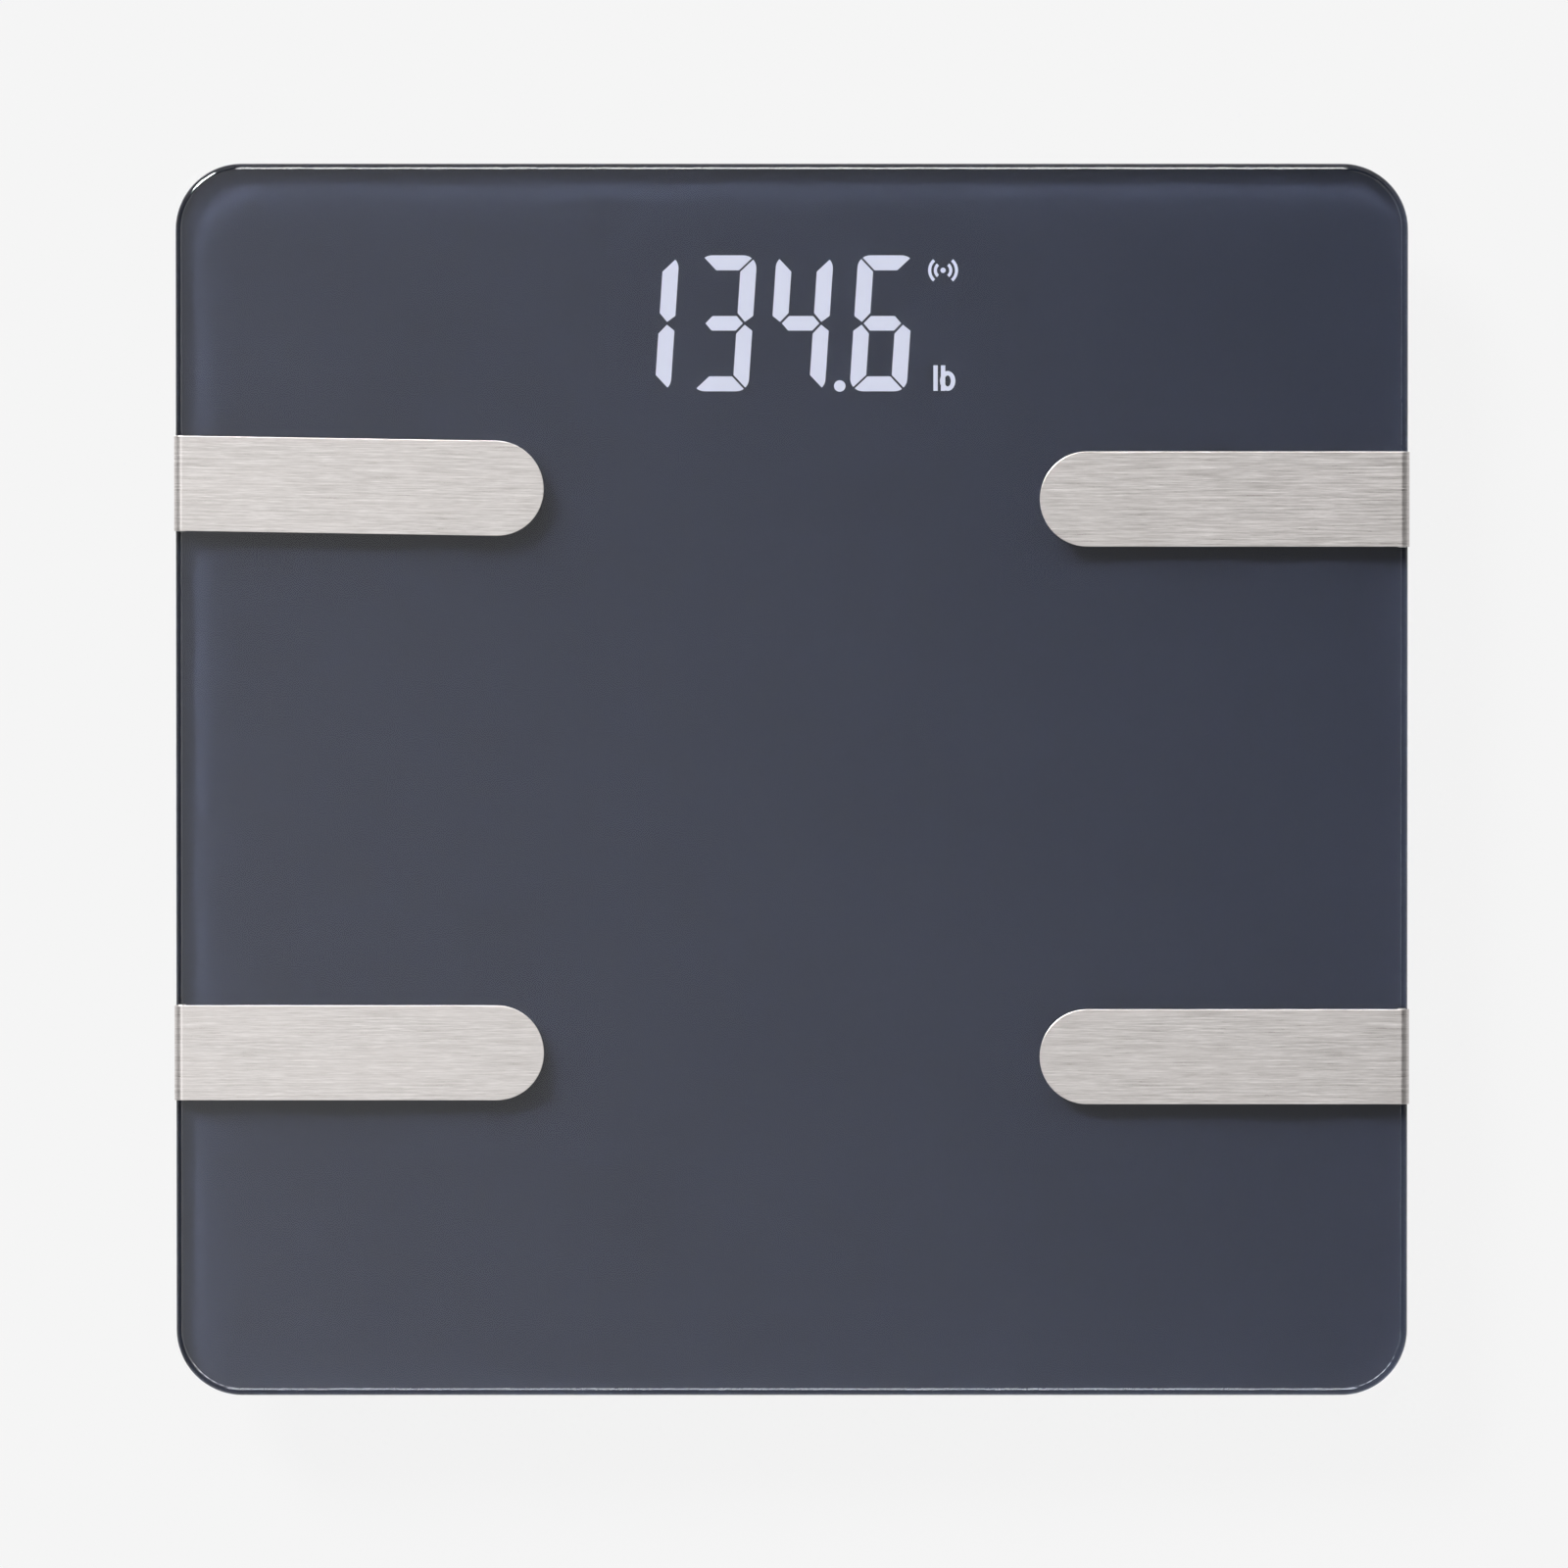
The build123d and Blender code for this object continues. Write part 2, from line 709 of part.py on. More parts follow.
segment_faces = list(lit_shapes.faces()) + list(dark_shapes.faces())
led_places = [(face.center().X, face.center().Y) for face in segment_faces] + symbol_places
with BuildPart() as display_leds:
    with BuildSketch(Plane.XY.offset(board_top)):
        with Locations(*led_places):
            Rectangle(*led_size)
    extrude(amount=led_height)
save(display_leds, "display_leds")

chip_place = (-4.0, 105.0)
chip_side = 9.0
chip_height = 1.2
chip_pin_pitch = 0.8
chip_pin_width = 0.35
chip_pin_height = 0.2
chip_pin_span = chip_side + 2.0
with BuildPart() as controller_chip:
    with BuildSketch(Plane.XY.offset(board_bottom - chip_height)):
        with Locations(chip_place):
            Rectangle(chip_side, chip_side)
    extrude(amount=chip_height - 0.1)
    chamfer(controller_chip.faces().sort_by(Axis.Z)[0].edges(), 0.25)
    with BuildSketch(Plane.XY.offset(board_bottom - chip_pin_height)):
        with Locations(chip_place):
            with GridLocations(chip_pin_pitch, 0, 10, 1):
                Rectangle(chip_pin_width, chip_pin_span)
            with GridLocations(0, chip_pin_pitch, 1, 10):
                Rectangle(chip_pin_span, chip_pin_width)
    extrude(amount=chip_pin_height)
save(controller_chip, "controller_chip")

radio_place = (-30.0, 110.0)
radio_board = (17.0, 12.0, 0.8)
radio_can = (10.5, 10.0, 1.6)
with BuildPart() as radio_module:
    with BuildSketch(Plane.XY.offset(board_bottom - radio_board[2])):
        with Locations(radio_place):
            Rectangle(radio_board[0], radio_board[1])
    extrude(amount=radio_board[2])
    with BuildSketch(Plane.XY.offset(board_bottom - radio_board[2] - radio_can[2])):
        with Locations((radio_place[0] - 2.5, radio_place[1])):
            RectangleRounded(radio_can[0], radio_can[1], 0.6)
    extrude(amount=radio_can[2])
save(radio_module, "radio_module")

resistor_groups = [(13.0, 104.0), (-17.0, 96.0)]
resistor_size = (1.6, 0.8, 0.5)
driver_place = (24.0, 110.0)
driver_size = (9.9, 3.9)
crystal_place = (-4.0, 115.0)
crystal_size = (9.0, 3.6)
driver_height = 1.5
capacitor_places = [(40.0, 114.0), (-14.0, 115.0)]
capacitor_radius = 2.5
capacitor_height = 3.4
with BuildPart() as board_components:
    with BuildSketch(Plane.XY.offset(board_bottom - resistor_size[2])):
        with Locations(*resistor_groups):
            with GridLocations(3.0, 2.4, 3, 4):
                Rectangle(resistor_size[0], resistor_size[1])
    extrude(amount=resistor_size[2])
    with BuildSketch(Plane.XY.offset(board_bottom - driver_height)):
        with Locations(driver_place):
            Rectangle(*driver_size)
        with Locations(crystal_place):
            SlotOverall(*crystal_size)
    extrude(amount=driver_height)
    with BuildSketch(Plane.XY.offset(board_bottom - capacitor_height)):
        with Locations(*capacitor_places):
            Circle(capacitor_radius)
    extrude(amount=capacitor_height)
save(board_components, "board_components")


# ---------------------------------------------------------------- unit button
with BuildPart() as unit_button:
    with BuildSketch(Plane.XY.offset(button_bottom)):
        with Locations((button_x, button_y)):
            Circle(button_radius)
    extrude(amount=flange_bottom - button_bottom)
    fillet(unit_button.faces().sort_by(Axis.Z)[0].edges(), 0.5)
    with BuildSketch(Plane.XY.offset(flange_bottom)):
        with Locations((button_x, button_y)):
            Circle(flange_radius)
    extrude(amount=flange_top - flange_bottom)
    with BuildSketch(Plane.XY.offset(button_bottom)):
        with Locations((button_x, button_y)):
            Circle(button_dish_radius)
    extrude(amount=button_dish_depth, mode=Mode.SUBTRACT)
save(unit_button, "unit_button")

with BuildPart() as switch_plunger:
    with BuildSketch(Plane.XY.offset(flange_top)):
        with Locations((button_x, button_y)):
            Circle(plunger_radius)
    extrude(amount=plunger_top - flange_top)
save(switch_plunger, "switch_plunger")

with BuildPart() as switch_body:
    with BuildSketch(Plane.XY.offset(switch_bottom)):
        with Locations((button_x, button_y)):
            Rectangle(switch_side, switch_side)
    extrude(amount=board_bottom - switch_bottom)
    chamfer(switch_body.edges().filter_by(Axis.Z), 0.5)
    with BuildSketch(Plane.XY.offset(switch_bottom)):
        with Locations((button_x, button_y)):
            Circle(plunger_radius + 0.3)
    extrude(amount=plunger_top + button_travel + 0.4 - switch_bottom, mode=Mode.SUBTRACT)
save(switch_body, "switch_body")


# ---------------------------------------------------------------- feet and load cells
def make_load_cell(name, side_x, side_y):
    """E-shaped steel half bridge: a frame, and a tongue that the foot lifts."""
    # the plate's own +Y points to the middle of the scale along X, where its leads leave
    turn = 90 if side_x > 0 else -90
    with BuildPart() as load_cell:
        with BuildSketch(Plane.XY.offset(cell_bottom)):
            with Locations(Location((side_x * foot_centre, side_y * foot_centre), turn)):
                RectangleRounded(cell_side, cell_side, 5.0)
                with GridLocations(cell_screw_pitch, cell_screw_pitch, 2, 2):
                    Circle(cell_hole, mode=Mode.SUBTRACT)
                with Locations((-11.0, -1.5), (11.0, -1.5)):
                    SlotOverall(17.0, 1.6, rotation=90, mode=Mode.SUBTRACT)
                with Locations((0, -9.5)):
                    SlotOverall(23.6, 1.6, mode=Mode.SUBTRACT)
                with Locations((-6.8, 0.4), (6.8, 0.4)):
                    SlotOverall(14.0, 1.6, rotation=90, mode=Mode.SUBTRACT)
                with Locations((0, 6.6)):
                    SlotOverall(15.2, 1.6, mode=Mode.SUBTRACT)
                Circle(cell_hole, mode=Mode.SUBTRACT)
        extrude(amount=cell_thickness)
    save(load_cell, name)


def make_foot_shell(name, x, y):
    """Round foot: a dished disc with ribs and a boss that lifts the load cell's tongue."""
    with BuildPart() as foot_shell:
        with BuildSketch(Plane.XY.offset(foot_bottom)):
            with Locations((x, y)):
                Circle(foot_radius)
        extrude(amount=foot_rim_top - foot_bottom)
        fillet(foot_shell.faces().sort_by(Axis.Z)[0].edges(), 1.4)
        with BuildSketch(Plane.XY.offset(foot_bottom + foot_web)):
            with Locations((x, y)):
                Circle(foot_radius - foot_wall)
        extrude(amount=foot_rim_top, mode=Mode.SUBTRACT)
        with BuildSketch(Plane.XY.offset(foot_bottom + foot_web)):
            with Locations((x, y)):
                with PolarLocations(0, 4, angular_range=180):
                    Rectangle(2 * foot_radius - foot_wall, foot_rib_thickness)
        extrude(amount=foot_rib_height)
        with BuildSketch(Plane.XY.offset(foot_bottom + foot_web)):
            with Locations((x, y)):
                Circle(boss_radius)
        extrude(amount=cell_bottom - foot_bottom - foot_web)
        with BuildSketch(Plane.XY.offset(foot_bottom)):
            with Locations((x, y)):
                Circle(pad_radius)
        extrude(amount=pad_recess, mode=Mode.SUBTRACT)
        with BuildSketch(Plane.XY.offset(foot_rim_top - 1.0)):
            with Locations((x, y)):
                Circle(screw_hole)
        extrude(amount=cell_bottom, mode=Mode.SUBTRACT)
    save(foot_shell, name)


def make_foot_pad(name, x, y):
    """Non-slip rubber disc let into the underside of a foot."""
    with BuildPart() as foot_pad:
        with BuildSketch(Plane.XY):
            with Locations((x, y)):
                Circle(pad_radius)
        extrude(amount=pad_thickness)
        fillet(foot_pad.faces().sort_by(Axis.Z)[0].edges(), 0.5)
        with BuildSketch(Plane.XY):
            with Locations((x, y)):
                for ring_radius in pad_rings:
                    Circle(ring_radius + pad_ring_width / 2)
                    Circle(ring_radius - pad_ring_width / 2, mode=Mode.SUBTRACT)
        extrude(amount=pad_ring_depth, mode=Mode.SUBTRACT)
    save(foot_pad, name)


def make_foot_screw(name, x, y):
    """Screw through the load cell's tongue into the boss of a foot."""
    with BuildPart() as foot_screw:
        with BuildSketch(Plane.XY.offset(foot_rim_top)):
            with Locations((x, y)):
                Circle(screw_shank)
        extrude(amount=cell_top - foot_rim_top)
        with BuildSketch(Plane.XY.offset(cell_top)):
            with Locations((x, y)):
                Circle(2.8)
        extrude(amount=1.5)
        fillet(foot_screw.faces().sort_by(Axis.Z)[-1].edges(), 0.5)
        with BuildSketch(Plane.XY.offset(cell_top + 0.7)):
            with Locations((x, y)):
                Rectangle(*cross_slot)
                Rectangle(*reversed(cross_slot))
        extrude(amount=1.0, mode=Mode.SUBTRACT)
    save(foot_screw, name)


for corner, side_x, side_y in corners:
    make_load_cell(f"load_cell_{corner}", side_x, side_y)
    make_foot_shell(f"foot_shell_{corner}", side_x * foot_centre, side_y * foot_centre)
    make_foot_pad(f"foot_pad_{corner}", side_x * foot_centre, side_y * foot_centre)
    make_foot_screw(f"foot_screw_{corner}", side_x * foot_centre, side_y * foot_centre)

with BuildPart() as cell_carriers:
    with BuildSketch(Plane.XY.offset(cell_top)):
        with Locations(*foot_places):
            RectangleRounded(carrier_side, carrier_side, 6.0)
    extrude(amount=print_bottom - cell_top)
    with BuildSketch(Plane.XY.offset(cell_top)):
        with Locations(*foot_places):
            Circle(carrier_hollow_radius)
    extrude(amount=carrier_hollow_depth, mode=Mode.SUBTRACT)
    with BuildSketch(Plane.XY.offset(cell_top)):
        with Locations(*foot_places):
            with GridLocations(cell_screw_pitch, cell_screw_pitch, 2, 2):
                Circle(screw_hole)
    extrude(amount=cell_screw_grip + 0.4, mode=Mode.SUBTRACT)
save(cell_carriers, "cell_carriers")

with BuildPart() as cell_screws:
    with BuildSketch(Plane.XY.offset(cell_bottom)):
        with Locations(*foot_places):
            with GridLocations(cell_screw_pitch, cell_screw_pitch, 2, 2):
                Circle(screw_shank)
    extrude(amount=cell_thickness + cell_screw_grip)
    with BuildSketch(Plane.XY.offset(cell_bottom - cell_screw_head_height)):
        with Locations(*foot_places):
            with GridLocations(cell_screw_pitch, cell_screw_pitch, 2, 2):
                Circle(cell_screw_head)
    extrude(amount=cell_screw_head_height)
save(cell_screws, "cell_screws")

potting_size = (4.4, 9.0)
potting_height = 0.9
potting_x = 13.0
with BuildPart() as gauge_potting:
    with BuildSketch(Plane.XY.offset(cell_bottom - potting_height)):
        for _, side_x, side_y in corners:
            with Locations((side_x * (foot_centre - potting_x), side_y * foot_centre)):
                RectangleRounded(*potting_size, 1.0)
    extrude(amount=potting_height)
save(gauge_potting, "gauge_potting")


# ---------------------------------------------------------------- leads
def corner_radii(points):
    """Largest arcs that the runs of a route allow, one for each corner."""
    radii = []
    for before, corner_point, after in zip(points, points[1:], points[2:]):
        run_in = Vector(*corner_point) - Vector(*before)
        run_out = Vector(*after) - Vector(*corner_point)
        half_turn = math.radians(run_in.get_angle(run_out) / 2)
        radii.append(0.45 * min(run_in.length, run_out.length) / math.tan(half_turn))
    return radii


def lead(points, radius):
    """One insulated lead along straight runs joined by tangent arcs."""
    with BuildPart() as tube:
        with BuildLine() as route:
            FilletPolyline(*points, radius=corner_radii(points))
        with BuildSketch(Plane(origin=route.line @ 0, z_dir=route.line % 0)):
            Circle(radius)
        sweep(path=route.line)
    return tube.part


potting_edge_x = foot_centre - potting_x - potting_size[0] / 2
under_cell_z = cell_bottom - 0.55
low_z = floor_top + 0.8
under_board_z = board_bottom - 2.5


def toe_cell_route(side, lane):
    """From a toe load cell to the near end of the board."""
    y = foot_centre + lane * lead_pitch
    return [
        (side * potting_edge_x, y, under_cell_z),
        (side * 70.0, y, under_cell_z),
        (side * 59.0, y, under_board_z),
        (side * 43.0, y, under_board_z),
        (side * 43.0, y, board_bottom),
    ]


def heel_cell_route(side, lane):
    """From a heel load cell, up the tray beside the battery bay, to the board."""
    y = -foot_centre + lane * lead_pitch
    lane_x = 69.0 + lane * lead_pitch
    board_end_y = foot_centre - 6.0 + lane * lead_pitch
    return [
        (side * potting_edge_x, y, under_cell_z),
        (side * lane_x, y, 10.7),
        (side * lane_x, -60.0, low_z),
        (side * (lane_x + 0.8), -5.0, low_z),
        (side * lane_x, 50.0, low_z),
        (side * (lane_x - 3.0), 80.0, low_z),
        (side * 57.0, board_end_y, under_board_z),
        (side * 43.0, board_end_y, under_board_z),
        (side * 43.0, board_end_y, board_bottom),
    ]


lead_colours = [("red", -1), ("white", 0), ("black", 1)]
for colour, lane in lead_colours:
    routes = [toe_cell_route(side, lane) for side in (-1, 1)]
    routes += [heel_cell_route(side, lane) for side in (-1, 1)]
    tubes = [lead(route, cell_lead_radius) for route in routes]
    with BuildPart() as cell_leads:
        add(tubes)
    save(cell_leads, f"cell_leads_{colour}")

solder_x = strip_return_x + 2.5


def toe_strip_route(side, strip_y):
    """From the return of a toe electrode down into the tray and to the board."""
    return [
        (side * solder_x, strip_y, print_bottom - strip_thickness),
        (side * solder_x, strip_y, 14.0),
        (side * 112.0, strip_y, 11.0),
        (side * 76.0, strip_y - 1.0, 9.4),
        (side * 53.0, 67.0, 9.2),
        (side * 41.5, 76.0, under_board_z),
        (side * 41.5, 85.0, under_board_z),
        (side * 41.5, 85.0, board_bottom),
    ]


def heel_strip_route(side, strip_y):
    """From the return of a heel electrode, inside the load-cell leads, to the board."""
    return [
        (side * solder_x, strip_y, print_bottom - strip_thickness),
        (side * solder_x, strip_y, 14.0),
        (side * 112.0, strip_y, 11.0),
        (side * 80.0, strip_y + 1.0, 9.4),
        (side * 62.0, -58.0, 9.2),
        (side * 59.0, -30.0, low_z),
        (side * 60.0, 20.0, low_z),
        (side * 55.0, 48.0, low_z),
        (side * 38.0, 72.0, under_board_z - 0.6),
        (side * 37.0, 85.0, under_board_z),
        (side * 37.0, 85.0, board_bottom),
    ]


strip_leads = []
for _, side, strip_y, _ in strips:
    route = toe_strip_route(side, strip_y) if strip_y > 0 else heel_strip_route(side, strip_y)
    strip_leads.append(lead(route, cell_lead_radius))
with BuildPart() as electrode_leads:
    add(strip_leads)
save(electrode_leads, "electrode_leads")

for colour, side in (("red", 1), ("black", -1)):
    row_y = side * battery_pitch
    supply_route = [
        (side * bay_half_length, row_y, battery_z),
        (side * (bay_half_length + 8.0), row_y, battery_z),
        (side * (bay_half_length + 13.0), row_y + 9.0, 9.5),
        (side * (bay_half_length + 12.0), 40.0, low_z + 0.2),
        (side * 27.0, 70.0, low_z + 0.2),
        (side * 26.0, 85.5, under_board_z),
        (side * 26.0, 85.5, board_bottom),
    ]
    supply_tube = lead(supply_route, battery_lead_radius)
    with BuildPart() as battery_lead:
        add(supply_tube)
    save(battery_lead, f"battery_lead_{colour}")
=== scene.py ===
import json
import math

import bmesh
import bpy
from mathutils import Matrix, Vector


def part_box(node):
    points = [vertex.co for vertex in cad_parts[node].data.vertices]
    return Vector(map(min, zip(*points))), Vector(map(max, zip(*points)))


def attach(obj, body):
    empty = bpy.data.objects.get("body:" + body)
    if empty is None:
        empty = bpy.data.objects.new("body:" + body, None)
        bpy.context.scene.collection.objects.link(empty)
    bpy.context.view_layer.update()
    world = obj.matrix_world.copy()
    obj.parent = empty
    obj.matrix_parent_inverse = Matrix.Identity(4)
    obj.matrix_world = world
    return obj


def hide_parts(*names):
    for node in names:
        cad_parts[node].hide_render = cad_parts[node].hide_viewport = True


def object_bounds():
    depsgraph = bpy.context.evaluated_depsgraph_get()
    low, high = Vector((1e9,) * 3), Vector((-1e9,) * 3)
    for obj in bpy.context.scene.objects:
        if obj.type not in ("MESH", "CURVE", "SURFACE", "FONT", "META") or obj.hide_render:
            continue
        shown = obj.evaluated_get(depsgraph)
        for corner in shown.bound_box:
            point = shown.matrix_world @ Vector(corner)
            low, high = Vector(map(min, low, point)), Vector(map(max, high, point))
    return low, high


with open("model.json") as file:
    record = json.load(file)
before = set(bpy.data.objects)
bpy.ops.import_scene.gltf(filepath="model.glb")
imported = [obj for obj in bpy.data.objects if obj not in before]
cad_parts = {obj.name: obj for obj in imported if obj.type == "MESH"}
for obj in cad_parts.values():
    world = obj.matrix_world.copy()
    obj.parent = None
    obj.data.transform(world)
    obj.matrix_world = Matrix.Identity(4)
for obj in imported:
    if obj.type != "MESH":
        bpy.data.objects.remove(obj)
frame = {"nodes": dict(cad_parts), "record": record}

CAD_BOX = [list(corner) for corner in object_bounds()]
MM = 0.001
ROOT = "platform"

# The glass and the steel strips: what the frame's boxes don't give.
GLASS_CORNER = 15 * MM
GLASS_EDGE = 1.6 * MM
GLASS_SUNK = 0.02 * MM
STRIP_WIDTH = 21.6 * MM
STRIP_THICKNESS = 0.3 * MM
STRIP_BEND = 2.0 * MM
STRIP_ROUND_OVER = 0.09 * MM
STRIP_RETURN_X = 125.0 * MM
STRIP_TILTS = {"electrode_toe_left": math.radians(-0.9)}

# How finely the round stretches are cut.
CORNER_STEPS = 24
EDGE_STEPS = 10
STRIP_END_STEPS = 32
STRIP_BEND_STEPS = 12
STRIP_EDGE_STEPS = 3

# The photo's framing: its width in pixels, a pixel's size at the scale's top, and the aim off the middle.
PHOTO_WIDTH = 1600
PIXEL = 0.2226 * MM
AIM_OFFSET = (-8 * PIXEL, -4 * PIXEL)
CAMERA_DISTANCE = 2.0
CAMERA_TILT = math.radians(0.8)
SENSOR_WIDTH = 36.0

FLOOR_HALF = 3.0
FLOOR_GAP = 0.2 * MM


# ---------------------------------------------------------------- node helpers
def new_material(name):
    """A material with one Principled shader: returns it, its tree and the shader."""
    material = bpy.data.materials.new(name)
    material.use_nodes = True
    tree = material.node_tree
    return material, tree, tree.nodes["Principled BSDF"]


def plug(tree, target, values):
    """Sets or links several inputs of a node by name."""
    for key, value in values.items():
        if isinstance(value, bpy.types.NodeSocket):
            tree.links.new(value, target.inputs[key])
        else:
            target.inputs[key].default_value = value


def node(tree, kind, inputs=None, **settings):
    """Adds a node, with its settings, and its inputs given as values or linked sockets."""
    made = tree.nodes.new(kind)
    for name, value in settings.items():
        setattr(made, name, value)
    plug(tree, made, inputs or {})
    return made


def stretched(tree, vector, scale):
    """A vector scaled along each axis."""
    return node(tree, "ShaderNodeMapping", {"Vector": vector, "Scale": scale}).outputs["Vector"]


def place(tree, scale=(1, 1, 1)):
    """Object coordinates in metres, scaled."""
    return stretched(tree, node(tree, "ShaderNodeTexCoord").outputs["Object"], scale)


def noise(tree, vector, scale, detail=2.0, roughness=0.5):
    """Noise from 0 to 1, with scale features in each metre."""
    values = {"Vector": vector, "Scale": scale, "Detail": detail, "Roughness": roughness}
    return node(tree, "ShaderNodeTexNoise", values).outputs["Fac"]


def spread(tree, value, low, high, start=0.3, end=0.7):
    """Maps a value between start and end to low and high, clamped."""
    values = {"Value": value, "From Min": start, "From Max": end, "To Min": low, "To Max": high}
    return node(tree, "ShaderNodeMapRange", values).outputs["Result"]


def ease(tree, value, start, end, low, high):
    """Goes smoothly from low to high as a value goes from start to end."""
    values = {"Value": value, "From Min": start, "From Max": end, "To Min": low, "To Max": high}
    return node(tree, "ShaderNodeMapRange", values, interpolation_type="SMOOTHSTEP").outputs["Result"]


def arithmetic(tree, operation, first, second=0.0):
    """One operation on two numbers or sockets."""
    return node(tree, "ShaderNodeMath", {0: first, 1: second}, operation=operation).outputs["Value"]


def along_vector(tree, first, second):
    """The dot product of two vectors."""
    made = node(tree, "ShaderNodeVectorMath", {0: first, 1: second}, operation="DOT_PRODUCT")
    return made.outputs["Value"]


def blend_colours(tree, factor, first, second):
    """Mixes two colours by a factor."""
    made = node(tree, "ShaderNodeMix", data_type="RGBA")
    plug(tree, made, {0: factor, 6: first, 7: second})
    return made.outputs[2]


def bump(tree, height, strength, distance):
    """A bump from a height between 0 and 1, distance in metres."""
    values = {"Height": height, "Strength": strength, "Distance": distance}
    return node(tree, "ShaderNodeBump", values).outputs["Normal"]


def shaded(colour, gain, lift=0.0):
    """A colour multiplied by gain and raised by lift, opaque."""
    return [channel * gain + lift for channel in colour[:3]] + [1]


# ---------------------------------------------------------------- materials
def moulded_plastic(name, colour, roughness, grain=2600.0, depth=0.03 * MM):
    """Moulded plastic: fine spark-eroded grain, slight mottling and rubbed patches."""
    material, tree, shader = new_material(name)
    where = place(tree)
    fine = noise(tree, where, grain, 2.0, 0.6)
    mottling = noise(tree, where, grain / 60, 3.0)
    rubbed = noise(tree, where, grain / 160, 4.0, 0.65)
    plug(tree, shader, {
        "Base Color": blend_colours(tree, spread(tree, mottling, 0.0, 1.0), shaded(colour, 0.88), colour),
        "Roughness": spread(tree, rubbed, roughness - 0.06, roughness + 0.08),
        "Specular IOR Level": 0.5,
        "Normal": bump(tree, fine, 0.5, depth),
    })
    return material


def plated_steel(name, colour, roughness):
    """Stamped plated steel: rolling lines, faint blotches."""
    material, tree, shader = new_material(name)
    lines = noise(tree, place(tree, (900, 9000, 900)), 1.0, 3.0)
    blotches = noise(tree, place(tree), 160.0, 4.0)
    plug(tree, shader, {
        "Base Color": blend_colours(tree, spread(tree, blotches, 0, 1), shaded(colour, 0.86), colour),
        "Metallic": 1.0,
        "Roughness": spread(tree, lines, roughness - 0.07, roughness + 0.09),
        "Normal": bump(tree, lines, 0.15, 0.01 * MM),
    })
    return material


def brushed_steel():
    """The electrodes: stainless with a fine grain along each strip, from its UV map in metres."""
    material, tree, shader = new_material("brushed_stainless")
    dark_scratch, bright_scratch = (0.42, 0.395, 0.378, 1), (0.808, 0.775, 0.764, 1)
    handled = (0.66, 0.622, 0.604, 1)
    strip = node(tree, "ShaderNodeUVMap", uv_map="along").outputs["UV"]
    hairlines = noise(tree, stretched(tree, strip, (260, 11000, 1)), 1.0, 3.0, 0.6)
    streaks = noise(tree, stretched(tree, strip, (70, 2500, 1)), 1.0, 4.0, 0.62)
    clouds = noise(tree, stretched(tree, strip, (28, 160, 1)), 1.0, 2.0)
    grain = arithmetic(tree, "MULTIPLY", hairlines, streaks)
    tone = blend_colours(tree, spread(tree, grain, 0, 1, 0.12, 0.42), dark_scratch, bright_scratch)
    plug(tree, shader, {
        "Base Color": blend_colours(tree, spread(tree, clouds, 0.0, 0.35), tone, handled),
        "Metallic": 1.0,
        "Roughness": spread(tree, streaks, 0.26, 0.40),
        "Anisotropic": 0.7,
        "Tangent": node(tree, "ShaderNodeTangent", direction_type="UV_MAP", uv_map="along").outputs[0],
        "Normal": bump(tree, grain, 0.25, 0.004 * MM),
    })
    return material


def clear_glass():
    """Tempered float glass: very faint green, with a few smears and rubbed marks in its gloss."""
    material, tree, shader = new_material("tempered_glass")
    smears = noise(tree, place(tree, (1.0, 1.6, 1.0)), 34.0, 5.0, 0.6)
    plug(tree, shader, {
        "Base Color": (0.985, 0.995, 0.99, 1),
        "Transmission Weight": 1.0,
        "IOR": 1.5,
        "Roughness": spread(tree, smears, 0.0, 0.02, 0.45, 0.8),
    })
    return material


def back_print():
    """The blue-grey print under the glass, with a faint cloudiness in its ink."""
    material, tree, shader = new_material("back_print_ink")
    thick_ink, thin_ink = (0.0150, 0.0184, 0.0310, 1), (0.0158, 0.0193, 0.0325, 1)
    clouds = noise(tree, place(tree), 22.0, 3.0, 0.5)
    plug(tree, shader, {
        "Base Color": blend_colours(tree, spread(tree, clouds, 0, 1), thick_ink, thin_ink),
        "Roughness": 0.8,
        "Specular IOR Level": 0.0,
    })
    return material


def lit_resin():
    """Lit segments: even lavender-white light through a milky resin."""
    material, tree, shader = new_material("lit_segment_light")
    plug(tree, shader, {
        "Base Color": (0.03, 0.03, 0.04, 1),
        "Roughness": 0.6,
        "Specular IOR Level": 0.0,
        "Emission Color": (0.80, 0.83, 1.0, 1),
        "Emission Strength": 0.755,
    })
    return material


def rubber(name, colour, grain=1500.0):
    """Matte rubber with a fine pebble and dusty patches."""
    material, tree, shader = new_material(name)
    where = place(tree)
    pebble = node(tree, "ShaderNodeTexVoronoi", {"Vector": where, "Scale": grain}).outputs["Distance"]
    dust = noise(tree, where, 90.0, 5.0, 0.6)
    dusty = shaded(colour, 1.9, 0.02)
    plug(tree, shader, {
        "Base Color": blend_colours(tree, spread(tree, dust, 0, 0.5, 0.45, 0.8), colour, dusty),
        "Roughness": 0.82,
        "Specular IOR Level": 0.35,
        "Normal": bump(tree, pebble, 0.35, 0.04 * MM),
    })
    return material


def soft_lead(name, colour):
    """Insulation of a lead: soft gloss, slight waviness."""
    return moulded_plastic(name, colour, 0.42, grain=1800.0, depth=0.01 * MM)


